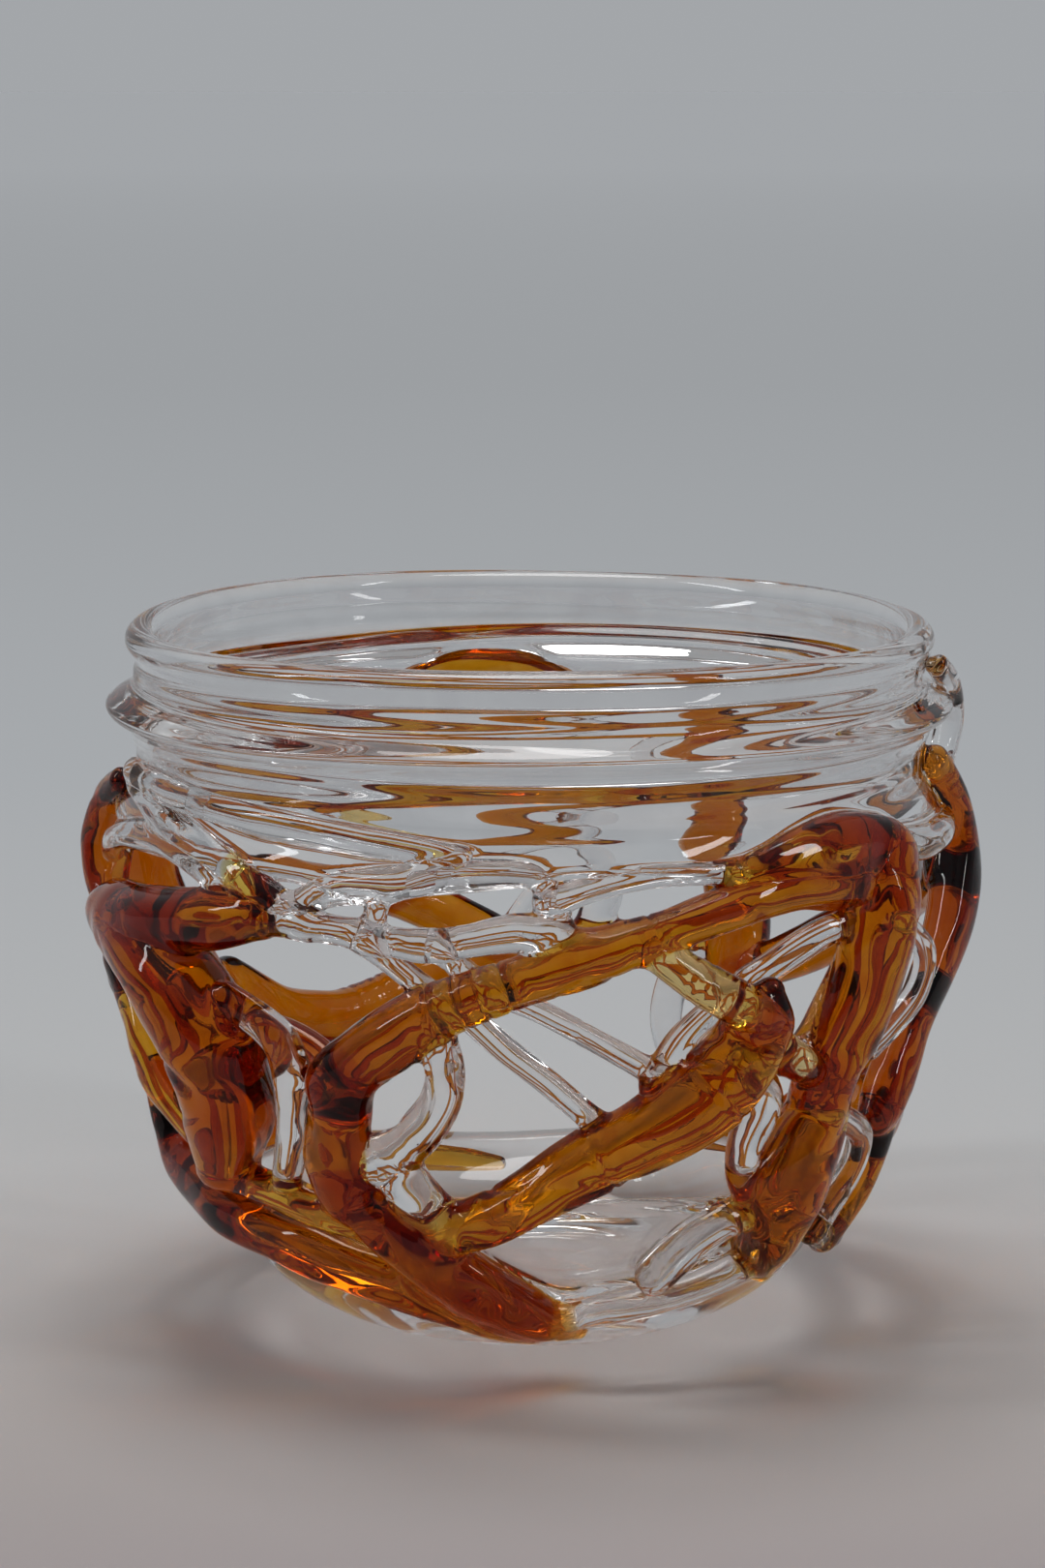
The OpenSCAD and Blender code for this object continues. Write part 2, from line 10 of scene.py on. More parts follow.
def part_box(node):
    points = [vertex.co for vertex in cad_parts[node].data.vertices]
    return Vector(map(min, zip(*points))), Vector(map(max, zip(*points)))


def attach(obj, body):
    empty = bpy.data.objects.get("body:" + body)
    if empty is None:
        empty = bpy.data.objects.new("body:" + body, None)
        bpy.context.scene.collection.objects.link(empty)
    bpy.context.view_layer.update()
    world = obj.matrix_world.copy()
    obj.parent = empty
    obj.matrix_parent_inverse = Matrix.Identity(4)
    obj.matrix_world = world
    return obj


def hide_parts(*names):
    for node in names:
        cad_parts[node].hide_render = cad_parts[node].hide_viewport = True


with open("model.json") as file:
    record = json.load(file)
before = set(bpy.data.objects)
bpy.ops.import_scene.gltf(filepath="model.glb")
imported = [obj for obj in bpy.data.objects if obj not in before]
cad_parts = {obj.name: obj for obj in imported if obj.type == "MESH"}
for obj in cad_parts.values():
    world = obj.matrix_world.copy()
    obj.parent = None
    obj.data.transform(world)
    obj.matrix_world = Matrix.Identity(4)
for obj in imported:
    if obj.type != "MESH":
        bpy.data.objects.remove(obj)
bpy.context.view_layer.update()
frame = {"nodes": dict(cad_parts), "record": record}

# Art glass bowl: a clear blown neck on an openwork lattice of amber and clear canes, over a clear dish.
# Lengths are millimetres until a mesh is made, and azimuth 0 is the front, growing towards the right.

MM = 0.001
parts = frame["record"]["subparts"]
slot_of = {part["node"]: part["material_slot"] for part in parts}

NECK_NODES = ("lip_ring", "neck_wall", "neck_bead", "shoulder_skirt")
DISH_NODE = "base_dish"
CANE_NODES = [part["node"] for part in parts if part["node"] not in NECK_NODES + (DISH_NODE,)]

# ---------------------------------------------------------------- canes: what the frame says

CANE_SIDES = 8     # sides of a cane in the frame
CAP_RINGS = 2      # rings that round off each end there


def welded(node):
    """A node's points in millimetres, with the corners that share a place merged, and its edges."""
    mesh = frame["nodes"][node].data
    points = np.empty(len(mesh.vertices) * 3)
    mesh.vertices.foreach_get("co", points)
    points = points.reshape(-1, 3) / MM
    edges = np.empty(len(mesh.edges) * 2, int)
    mesh.edges.foreach_get("vertices", edges)
    places, index = np.unique(np.round(points, 3), axis=0, return_inverse=True)
    return places, index.reshape(-1)[edges].reshape(-1, 2)


def centrelines(node):
    """One line for each cane of a node: the middle and the radius of each ring, read from its solid."""
    points, edges = welded(node)
    near = [set() for _ in points]
    for a, b in edges:
        if a != b:
            near[a].add(b)
            near[b].add(a)
    tips = [i for i, others in enumerate(near) if len(others) == CANE_SIDES]
    lines = []
    while tips:
        seen, rings = {tips[0]}, [[tips[0]]]
        while rings[-1]:
            reached = sorted({j for i in rings[-1] for j in near[i]} - seen)
            seen.update(reached)
            rings.append(reached)
        tips = [i for i in tips if i not in seen]
        body = [points[ring] for ring in rings[1 + CAP_RINGS:-2 - CAP_RINGS]]
        lines.append(np.array([[*ring.mean(0), np.linalg.norm(ring - ring.mean(0), axis=1).mean()]
                               for ring in body]))
    return sorted(lines, key=way_round)


def way_round(line):
    """Azimuth of a cane's middle, from the left edge over the front."""
    x, y = line[:, :2].mean(0)
    return (math.atan2(x, -y) + math.pi / 2) % (2 * math.pi)


# ---------------------------------------------------------------- canes: smooth round tubes

RING_STEP = 0.6           # between the rings of a fine tube
SIDE_STEP = 0.75          # between the points round a ring
SIDES_LOW, SIDES_HIGH = 24, 60
CAP_STEPS = 7             # rings in each rounded end
CURVE_STEPS = 24          # points on a curve between two rings of the frame
LEAST_RINGS = 6
FLATTEN = 0.05            # how much a cane is flattened against the body

# Sizes and depths from here on are shares of a cane's radius. A length is that over which something wanders.
SWELL, SWELL_LENGTH = 0.06, 17
BEND_OUT, BEND_OUT_LENGTH = 0.06, 20
BEND_SIDE, BEND_SIDE_LENGTH = 0.09, 24
FOLDS = (
    # lobes round a cane, size, length
    (2, 0.045, 22),
    (3, 0.035, 15),
    (5, 0.010, 10),
)
FOLD_TWIST = 1.3          # how far folds wander round a cane, in radians
FOLD_CHANGE = 0.7         # how much they fade and deepen
GROOVES = (
    # depth, width in radians, length
    (0.13, 0.30, 30),
    (0.09, 0.24, 18),
)
GROOVE_TWIST = 1.7
GROOVE_LEVEL, GROOVE_CHANGE = 0.55, 0.9
GROOVE_THIN = 0.25        # share of a groove's depth that the thinnest canes have
SEAM_DEPTH, SEAM_WIDTH = 0.085, 0.34
COLLAR_SIZE, COLLAR_WIDTH = 0.03, 1.6      # swelling on both sides of a seam
KNOT_SIZE, KNOT_WIDTH = 0.16, 1.9


def smooth_line(line, step):
    """A Catmull-Rom curve through the points of a line, at an even spacing."""
    ends = np.vstack([2 * line[0] - line[1], line, 2 * line[-1] - line[-2]])
    t = np.linspace(0, 1, CURVE_STEPS, endpoint=False)[:, None]
    dense = []
    for a, b, c, d in zip(ends, ends[1:], ends[2:], ends[3:]):
        dense.append((2 * b + (c - a) * t + (2 * a - 5 * b + 4 * c - d) * t**2
                      + (3 * b - a - 3 * c + d) * t**3) / 2)
    dense = np.vstack(dense + [line[-1:]])
    along = np.concatenate([[0], np.cumsum(np.linalg.norm(np.diff(dense[:, :3], axis=0), axis=1))])
    even = np.linspace(0, along[-1], max(int(along[-1] / step), LEAST_RINGS))
    return np.column_stack([np.interp(even, along, dense[:, k]) for k in range(4)]), even


def unit(v):
    """Vectors of length 1 in the directions of some vectors."""
    return v / np.maximum(np.linalg.norm(v, axis=-1, keepdims=True), 1e-9)


def bump(place, centre, width):
    """A smooth bump of height 1 round a centre."""
    return np.exp(-((place - centre) / width) ** 2)


def wander(random, along, length, terms=3):
    """A slow random wave along a cane, between about -1 and 1, of terms of growing length."""
    wave = np.zeros_like(along)
    for k in range(terms):
        wave += random.uniform(0.4, 1) * np.sin(2 * math.pi * along / (length * (1 + 0.6 * k))
                                                + random.uniform(0, 2 * math.pi))
    return wave / terms


def groove_share(radius):
    """Share of its full depth that a groove has: thin canes are smoother."""
    return np.clip(radius / 2 - 0.6, GROOVE_THIN, 1)


def tube(line, random, seams=(), knots=()):
    """Points and faces of a closed round tube along a line, as uneven as work by hand.
    Seams are narrow rings cut into it and knots are swellings, at shares of its length."""
    line, along = smooth_line(line, RING_STEP)
    middle, radius = line[:, :3].copy(), line[:, 3].copy()
    heading = unit(np.gradient(middle, axis=0))
    radial = unit(middle * [1, 1, 0])
    out = unit(radial - (radial * heading).sum(1, keepdims=True) * heading)
    side = np.cross(heading, out)
    radius *= 1 + SWELL * wander(random, along, SWELL_LENGTH)
    middle += out * (BEND_OUT * radius * wander(random, along, BEND_OUT_LENGTH))[:, None]
    middle += side * (BEND_SIDE * radius * wander(random, along, BEND_SIDE_LENGTH))[:, None]
    for place in seams:
        seam = place * along[-1]
        cut, collar = bump(along, seam, SEAM_WIDTH), bump(along, seam, COLLAR_WIDTH)
        radius *= 1 - SEAM_DEPTH * cut + COLLAR_SIZE * collar
    for place in knots:
        radius *= 1 + KNOT_SIZE * bump(along, place * along[-1], KNOT_WIDTH)

    sides = int(np.clip(2 * math.pi * radius.max() / SIDE_STEP, SIDES_LOW, SIDES_HIGH))
    turn = 2 * math.pi * np.arange(sides) / sides
    folds = np.ones((len(middle), sides))
    for lobes, size, length in FOLDS:
        phase = random.uniform(0, 2 * math.pi) + FOLD_TWIST * wander(random, along, length)
        strength = size * (1 + FOLD_CHANGE * wander(random, along, length))
        folds += strength[:, None] * np.cos(lobes * turn + phase[:, None])
    for deep, wide, length in GROOVES:
        at = random.uniform(0, 2 * math.pi) + GROOVE_TWIST * wander(random, along, length)
        fade = np.clip(GROOVE_LEVEL + GROOVE_CHANGE * wander(random, along, length), 0, 1)
        fade = fade * groove_share(radius)
        gap = (turn - at[:, None] + math.pi) % (2 * math.pi) - math.pi
        folds -= deep * fade[:, None] * bump(gap, 0, wide)

    # Rows of rings: which point of the line, how far ahead of it, and how wide, against the radius there
    caps = np.linspace(0, math.pi / 2, CAP_STEPS + 1)[1:-1]
    rows = [(0, -math.sin(a), math.cos(a)) for a in caps[::-1]]
    rows += [(i, 0, 1) for i in range(len(middle))]
    rows += [(-1, math.sin(a), math.cos(a)) for a in caps]
    rings = []
    for i, ahead, wide in rows:
        centre = middle[i] + heading[i] * ahead * radius[i]
        rings.append(centre + radius[i] * wide * folds[i][:, None] * (
            (1 - FLATTEN) * np.cos(turn)[:, None] * out[i] + (1 + FLATTEN) * np.sin(turn)[:, None] * side[i]))
    first = middle[0] - heading[0] * radius[0]
    last = middle[-1] + heading[-1] * radius[-1]
    points = np.vstack([first, *rings, last])
    return points, tube_faces(len(rings), sides)


def tube_faces(rings, sides):
    """Quads between rings, with a fan of triangles to the first and to the last point."""
    step = np.arange(sides)
    after = (step + 1) % sides
    faces = [(0, 1 + int(b), 1 + int(a)) for a, b in zip(step, after)]
    for k in range(rings - 1):
        low = 1 + k * sides
        faces += [(low + int(a), low + int(b), low + sides + int(b), low + sides + int(a))
                  for a, b in zip(step, after)]
    low, tip = 1 + (rings - 1) * sides, 1 + rings * sides
    faces += [(tip, low + int(a), low + int(b)) for a, b in zip(step, after)]
    return faces


# ---------------------------------------------------------------- the blown neck and the dish

TURNS = 420               # points round the neck and the dish
LIP_T = 4.0               # thickness of the lip
WALL_T = 2.8              # thickness of the neck's wall
WAIST_Z = 84.0            # where the skirt starts to flare
SKIRT_Z = 75.5            # the skirt's lower edge
BEAD_Z = 93.0
LIP_WIDTH = 2.4
LIP_INWARD = 0.4          # how far the lip stands in
BEAD_WIDTH = 2.3
HOLLOW_WIDTH = 3.0        # of the hollow inside, behind the bead
HOLLOW_DEPTH = 0.45
RIDGES = (
    # size, height, width of the fine ridges above and below the bead
    (0.35, 98.4, 1.3),
    (0.5, 88.6, 1.6),
)
WALL_ROWS = 96            # points down each side of the wall
EDGE_ROWS = 9             # points round its lower edge
LIP_ROWS = 13             # points over the lip
RIPPLES = (
    # height of a wave, waves round the bowl, size, phase
    (17.0, -2, 0.26, 2.6),
    (11.5, 3, 0.13, 4.0),
    (8.0, -4, 0.055, 1.9),
    (6.0, 7, 0.015, 5.1),
)
RIPPLE_STRENGTH = 0.9     # on the outside, and twice that on the inside
INSIDE_SHIFT = 2.2        # phase between the two
CALM, CALM_WIDTH = 0.8, 3.0    # how much weaker ripples are at the lip

# Waves that keep the glass from being perfectly round and level: waves round the bowl, size, phase
LIP_WAVES = ((2, 0.28, 0.7), (3, 0.18, 2.0))
LIP_DROP = 0.4            # room for them under the bowl's full height
LIP_WAVES_FROM, LIP_WAVES_OVER = 86, 18
SKIRT_WAVES = ((3, 0.9, 1.0), (7, 0.7, 0.4))
SKIRT_WAVES_FROM, SKIRT_WAVES_OVER = 81.5, 5
OVAL_WAVES = ((2, 0.3, 1.1),)
RIM_WAVES = ((5, 0.5, 0.8),)

FOOT_R = 22.0
DISH_R = 49.0
DISH_H = 32.0             # height at which the dish's wall would stand upright
DISH_T = 3.0              # thickness of the dish's wall
FLOOR_T = 5.5
FLOOR_DIP = 0.8           # how much thinner the floor is in the middle
KICK = 0.9                # hollow under the foot, so that it stands on its edge
RIM_Z = 21.5
RIM_TILT = math.tan(math.radians(7.5))
RIM_TILT_R = DISH_R - 2   # about the radius of the rim
FOOT_ROWS, OUTSIDE_ROWS, RIM_ROWS, INSIDE_ROWS, FLOOR_ROWS = 14, 46, 11, 40, 12
FIRST_SHARE = 0.08        # radius of the ring nearest the middle, against the foot's
DISH_WAVES = (
    # size, waves round the dish, height over which they turn by a radian, phase
    (0.20, 5, 5, 0),
    (0.16, 8, -3, 1),
)

lip_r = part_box("lip_ring")[1].x / MM
bead_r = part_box("neck_bead")[1].x / MM
skirt_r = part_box("shoulder_skirt")[1].x / MM
waist_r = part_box("neck_wall")[1].x / MM
lip_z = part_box("lip_ring")[1].z / MM - LIP_T / 2


def skirt_flare(z):
    """How far the skirt stands out from the waist at a height."""
    down = np.clip((WAIST_Z - z) / (WAIST_Z - SKIRT_Z), 0, 1)
    return (skirt_r - waist_r) * (1 - np.cos(math.pi * down)) / 2


def neck_outside(z):
    """Outside radius of the neck at a height."""
    radius = waist_r + skirt_flare(z)
    radius = radius + (bead_r - waist_r) * bump(z, BEAD_Z, BEAD_WIDTH)
    radius = radius + (lip_r - waist_r) * bump(z, lip_z, LIP_WIDTH)
    for size, height, width in RIDGES:
        radius = radius + size * bump(z, height, width)
    return radius


def neck_inside(z):
    """Inside radius of the neck at a height."""
    radius = waist_r - WALL_T + skirt_flare(z)
    return radius - LIP_INWARD * bump(z, lip_z, LIP_WIDTH) + HOLLOW_DEPTH * bump(z, BEAD_Z, HOLLOW_WIDTH)


def half_turn(r0, z0, r1, z1, steps):
    """Points of a half circle from one (radius, height) to another, on the left of the way there."""
    middle = np.array([(r0 + r1) / 2, (z0 + z1) / 2])
    spoke = np.array([r0, z0]) - middle
    across = np.array([-spoke[1], spoke[0]])
    a = np.linspace(0, math.pi, steps + 2)[1:-1, None]
    return middle + np.cos(a) * spoke + np.sin(a) * across


def neck_profile():
    """The closed outline of the wall: down the outside, round the edge, up the inside and over the lip."""
    down = np.linspace(lip_z, SKIRT_Z + WALL_T / 2, WALL_ROWS)
    outside = np.column_stack([neck_outside(down), down])
    inside = np.column_stack([neck_inside(down[::-1]), down[::-1]])
    edge = half_turn(*inside[0], *outside[-1], EDGE_ROWS)[::-1]
    lip = half_turn(*outside[0], *inside[-1], LIP_ROWS)[::-1]
    return np.vstack([outside, edge, inside, lip])


def ripple(z, azimuth, shift):
    """Long flat waves in the blown wall, which stretch what shows through it sideways."""
    wave = 0
    for height, around, size, phase in RIPPLES:
        wave = wave + size * np.sin(2 * math.pi * z / height + around * azimuth + phase + shift)
    return wave


def waves(azimuth, rows):
    """The sum of some waves round the bowl."""
    wave = 0
    for around, size, phase in rows:
        wave = wave + size * np.sin(around * azimuth + phase)
    return wave


def ring_grid(rows, sides, closed):
    """Quads over a grid of rows by sides. closed joins the last row to the first."""
    faces = []
    for k in range(rows if closed else rows - 1):
        low, high = k * sides, (k + 1) % rows * sides
        for a in range(sides):
            b = (a + 1) % sides
            faces.append((low + a, high + a, high + b, low + b))
    return faces


def blown_neck():
    """Points and faces of the neck's closed wall, rippled and a little out of round."""
    outline = neck_profile()
    ahead, behind = np.roll(outline, -1, 0), np.roll(outline, 1, 0)
    way = unit(ahead - behind)
    normal = np.column_stack([-way[:, 1], way[:, 0]])
    normal *= np.sign(normal[WALL_ROWS // 3, 0])
    azimuth = 2 * math.pi * np.arange(TURNS) / TURNS
    r, z = outline[:, :1], outline[:, 1:]
    inner = (r < neck_outside(z) - WALL_T / 2).astype(float)
    calm = 1 - CALM * bump(z, lip_z + 1, CALM_WIDTH)
    strength = RIPPLE_STRENGTH + RIPPLE_STRENGTH * inner
    push = calm * strength * ripple(z, azimuth[None], INSIDE_SHIFT * inner)
    radius = r + push * normal[:, :1]
    height = z + push * normal[:, 1:]
    near_lip = np.clip((z - LIP_WAVES_FROM) / LIP_WAVES_OVER, 0, 1)
    height = height + near_lip * (waves(azimuth, LIP_WAVES) - LIP_DROP)
    near_edge = np.clip((SKIRT_WAVES_FROM - z) / SKIRT_WAVES_OVER, 0, 1)
    height = height + near_edge * waves(azimuth, SKIRT_WAVES)
    radius = radius + waves(azimuth, OVAL_WAVES)
    points = np.stack([radius * np.sin(azimuth), -radius * np.cos(azimuth), height], -1)
    return points.reshape(-1, 3), ring_grid(len(outline), TURNS, True)


def cup(r0, r1, z0, z1, a):
    """A quarter curve from a flat floor up to an upright wall."""
    return r0 + (r1 - r0) * np.sin(a), z1 - (z1 - z0) * np.cos(a)


def dish():
    """Points and faces of the closed dish: from the middle of the foot, up the outside, over the rim and
    down to the middle of the floor."""
    azimuth = 2 * math.pi * np.arange(TURNS) / TURNS
    rim_z = RIM_Z + RIM_TILT_R * RIM_TILT * np.cos(azimuth) + waves(azimuth, RIM_WAVES)
    outer_end = np.arccos((DISH_H - rim_z + DISH_T / 2) / DISH_H)
    inner_end = np.arccos((DISH_H - rim_z + DISH_T / 2) / (DISH_H - FLOOR_T))
    rows = []

    def add(radius, height, strength=0.0):
        """One more ring of points, with the dish's waves at some strength."""
        wave = 0
        for size, around, climb, phase in DISH_WAVES:
            wave = wave + size * np.sin(around * azimuth + height / climb + phase)
        push = strength * wave
        rows.append(np.stack([(radius + push) * np.sin(azimuth), -(radius + push) * np.cos(azimuth),
                              height * np.ones(TURNS)], -1))

    for share in np.linspace(FIRST_SHARE, 1, FOOT_ROWS):
        add(FOOT_R * share * np.ones(TURNS), KICK * (1 - share**2) * np.ones(TURNS))
    for share in np.linspace(0, 1, OUTSIDE_ROWS)[1:]:
        add(*cup(FOOT_R, DISH_R, 0, DISH_H, outer_end * share), strength=min(1, 3 * share))
    start = cup(FOOT_R, DISH_R, 0, DISH_H, outer_end)
    end = cup(FOOT_R - DISH_T, DISH_R - DISH_T, FLOOR_T, DISH_H, inner_end)
    for a in np.linspace(0, math.pi, RIM_ROWS)[1:-1]:
        radius = (start[0] + end[0]) / 2 + (start[0] - end[0]) / 2 * math.cos(a)
        height = (start[1] + end[1]) / 2 + (start[1] - end[1]) / 2 * math.cos(a)
        add(radius, height + DISH_T / 2 * math.sin(a))
    for share in np.linspace(1, 0, INSIDE_ROWS):
        add(*cup(FOOT_R - DISH_T, DISH_R - DISH_T, FLOOR_T, DISH_H, inner_end * share), strength=share)
    for share in np.linspace(1, FIRST_SHARE, FLOOR_ROWS)[1:]:
        floor = FLOOR_T - FLOOR_DIP * (1 - share**2)
        add((FOOT_R - DISH_T) * share * np.ones(TURNS), floor * np.ones(TURNS))
    count = len(rows)
    points = np.vstack([[[0, 0, KICK]], *rows, [[0, 0, FLOOR_T - FLOOR_DIP]]])
    faces = [tuple(1 + np.array(face[::-1])) for face in ring_grid(count, TURNS, False)]
    low, tip = 1 + (count - 1) * TURNS, 1 + count * TURNS
    for a in range(TURNS):
        b = (a + 1) % TURNS
        faces.append((0, 1 + b, 1 + a))
        faces.append((tip, low + a, low + b))
    return points, faces


# ---------------------------------------------------------------- fusing pieces to each other

REACH = 6.0               # how far from its nearest point a surface is still measured
FAR = 99.0                # the distance given where it isn't
BLEND = 0.55              # width of the fillet in a joint, against the thinner piece's radius
HOLD_DEPTH = 0.9          # points deeper than this inside another piece stay where they are
LONGEST_MOVE = 1.2
LEAST_SLOPE = 0.25
MOVES = 3
NEIGHBOUR_GAP = 3         # between the boxes of pieces that may meet


class Body:
    """A closed surface of one piece, as it was before the pieces are fused. Its size is about its radius."""

    def __init__(self, points, faces, size):
        self.points, self.faces, self.size = points, faces, size
        self.low, self.high = points.min(0), points.max(0)
        self.normals = vertex_normals(points, faces)
        self.tree = KDTree(len(points))
        for i, point in enumerate(points):
            self.tree.insert(point, i)
        self.tree.balance()

    def measure(self, places, reach):
        """Signed distance and outward direction from this surface, for places in reach of its box."""
        distance = np.full(len(places), FAR)
        outward = np.zeros((len(places), 3))
        close = np.all((places > self.low - reach) & (places < self.high + reach), axis=1)
        for i in np.flatnonzero(close):
            _, j, gap = self.tree.find(places[i])
            if gap < REACH:
                distance[i] = (places[i] - self.points[j]) @ self.normals[j]
                outward[i] = self.normals[j]
        return distance, outward


def vertex_normals(points, faces):
    """Outward directions at the points of triangles and quads."""
    corners = np.array([face if len(face) == 4 else (*face, face[2]) for face in faces])
    a, b, c, d = (points[corners[:, k]] for k in range(4))
    area = np.cross(c - a, d - b)
    normals = np.zeros_like(points)
    for k in range(4):
        np.add.at(normals, corners[:, k], area)
    return unit(normals)


def fuse(body, others):
    """Where a body's points go so that it flows into its neighbours, and how deep each is inside them."""
    start, normal = body.points, body.normals
    places, depth = start.copy(), np.zeros(len(start))
    for step in range(MOVES + 1):
        value = ((places - start) * normal).sum(1)
        slope = normal.copy()
        inside = np.full(len(start), FAR)
        for other in others:
            blend = BLEND * min(body.size, other.size)
            gap, outward = other.measure(places, blend)
            inside = np.minimum(inside, gap)
            near = np.abs(value - gap) < blend
            share = np.where(near, 0.5 + (gap - value) / (2 * blend), (gap > value).astype(float))[:, None]
            rounded = np.where(near, (blend - np.abs(value - gap)) ** 2 / (4 * blend), 0)
            slope = share * slope + (1 - share) * outward
            value = np.minimum(value, gap) - rounded
        depth = value
        if step == 0:
            first = np.clip(1 + inside / HOLD_DEPTH, 0, 1)
            hold = (first * first * (3 - 2 * first))[:, None]
        if step == MOVES:
            break
        move = -value[:, None] * slope / np.maximum((slope**2).sum(1, keepdims=True), LEAST_SLOPE)
        length = np.linalg.norm(move, axis=1, keepdims=True)
        move *= np.minimum(1, LONGEST_MOVE / np.maximum(length, 1e-9))
        places = places + move * hold
    return places, depth


# ---------------------------------------------------------------- materials

GLASS_IOR = 1.5
INSIDE_DEPTH = -0.07      # where a surface is deeper than this in another piece, it isn't there
CLEAR_STRIAE = (90, 0.012)     # scale of the striae, and the greatest roughness
AMBER_STRIAE = (130, 0.02)
GLASSES = {
    # name: darkest and palest tint of the surface, colour and density of the absorption, striae
    "clear_glass": (
        (0.93, 0.925, 0.93), (0.99, 0.99, 0.99), (0.90, 0.95, 0.94), 2, *CLEAR_STRIAE),
    "amber_glass": (
        (0.84, 0.45, 0.06), (0.95, 0.65, 0.14), (0.915, 0.748, 0.06), 520, *AMBER_STRIAE),
    "thick_amber_glass": (
        (0.84, 0.43, 0.06), (0.96, 0.67, 0.14), (0.922, 0.762, 0.06), 400, *AMBER_STRIAE),
    "deep_amber_glass": (
        (0.78, 0.36, 0.05), (0.88, 0.52, 0.11), (0.89, 0.65, 0.06), 560, *AMBER_STRIAE),
    "gold_glass": (
        (0.92, 0.58, 0.14), (0.98, 0.76, 0.26), (0.94, 0.79, 0.10), 320, *AMBER_STRIAE),
    "honey_glass": (
        (0.95, 0.78, 0.46), (0.98, 0.88, 0.62), (0.95, 0.82, 0.42), 170, *AMBER_STRIAE),
    "ember_glass": (
        (0.80, 0.36, 0.05), (0.92, 0.54, 0.10), (0.875, 0.63, 0.06), 460, *AMBER_STRIAE),
}


def glass(name, tint_a, tint_b, absorb, density, streak, roughness):
    """Fire-polished glass: faint striae in its colour and polish, and depth of colour from its thickness.
    Where the surface lies inside another piece its refractive index is that of no surface at all."""
    material = bpy.data.materials.new(name)
    material.use_nodes = True
    nodes, links = material.node_tree.nodes, material.node_tree.links
    nodes.clear()
    output = nodes.new("ShaderNodeOutputMaterial")
    shader = nodes.new("ShaderNodeBsdfPrincipled")
    shader.inputs["Transmission Weight"].default_value = 1.0
    shader.inputs["Specular IOR Level"].default_value = 0.5
    links.new(shader.outputs["BSDF"], output.inputs["Surface"])

    place = nodes.new("ShaderNodeTexCoord")
    striae = nodes.new("ShaderNodeTexNoise")
    striae.inputs["Scale"].default_value = streak
    striae.inputs["Detail"].default_value = 3.0
    striae.inputs["Distortion"].default_value = 1.4
    links.new(place.outputs["Object"], striae.inputs["Vector"])
    ramp = nodes.new("ShaderNodeValToRGB")
    ramp.color_ramp.elements[0].position = 0.35
    ramp.color_ramp.elements[0].color = (*tint_a, 1)
    ramp.color_ramp.elements[1].position = 0.65
    ramp.color_ramp.elements[1].color = (*tint_b, 1)
    links.new(striae.outputs["Fac"], ramp.inputs["Fac"])

    polish = nodes.new("ShaderNodeMapRange")
    polish.inputs["From Min"].default_value = 0.3
    polish.inputs["From Max"].default_value = 0.7
    polish.inputs["To Min"].default_value = 0.0
    polish.inputs["To Max"].default_value = roughness
    links.new(striae.outputs["Fac"], polish.inputs["Value"])
    links.new(polish.outputs["Result"], shader.inputs["Roughness"])

    depth = nodes.new("ShaderNodeAttribute")
    depth.attribute_name = "depth"
    bare = nodes.new("ShaderNodeMath")
    bare.operation = "GREATER_THAN"
    bare.inputs[1].default_value = INSIDE_DEPTH
    links.new(depth.outputs["Fac"], bare.inputs[0])
    tint = nodes.new("ShaderNodeMix")
    tint.data_type = "RGBA"
    tint.inputs["A"].default_value = (1, 1, 1, 1)
    links.new(bare.outputs["Value"], tint.inputs["Factor"])
    links.new(ramp.outputs["Color"], tint.inputs["B"])
    links.new(tint.outputs["Result"], shader.inputs["Base Color"])
    index = nodes.new("ShaderNodeMath")
    index.operation = "MULTIPLY_ADD"
    index.inputs[1].default_value = GLASS_IOR - 1
    index.inputs[2].default_value = 1.0
    links.new(bare.outputs["Value"], index.inputs[0])
    links.new(index.outputs["Value"], shader.inputs["IOR"])

    volume = nodes.new("ShaderNodeVolumeAbsorption")
    volume.inputs["Color"].default_value = (*absorb, 1)
    volume.inputs["Density"].default_value = density
    links.new(volume.outputs["Volume"], output.inputs["Volume"])
    return material


MATERIALS = {name: glass(name, *row) for name, row in GLASSES.items()}

# Canes whose glass isn't their slot's own: some are paler inside, and some are deeper
BATCHES = {
    "left_mass": "thick_amber_glass",
    "left_crown": "thick_amber_glass",
    "right_column": "thick_amber_glass",
    "right_leaf": "thick_amber_glass",
    "sweep": "thick_amber_glass",
    "lower_left_rail": "deep_amber_glass",
    "lower_diagonal": "deep_amber_glass",
}


def add_piece(name, body, places, depth, nodes_replaced, slot):
    """Makes a Blender mesh of a fused body, and hides the CAD nodes it stands for."""
    mesh = bpy.data.meshes.new(name)
    mesh.from_pydata((places * MM).tolist(), [], [tuple(int(i) for i in face) for face in body.faces])
    mesh.shade_smooth()
    attribute = mesh.attributes.new("depth", "FLOAT", "POINT")
    attribute.data.foreach_set("value", depth.astype(np.float32))
    mesh.materials.append(MATERIALS[BATCHES.get(nodes_replaced[0], slot)])
    piece = bpy.data.objects.new(name, mesh)
    bpy.context.scene.collection.objects.link(piece)
    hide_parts(*nodes_replaced)
    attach(piece, "root")


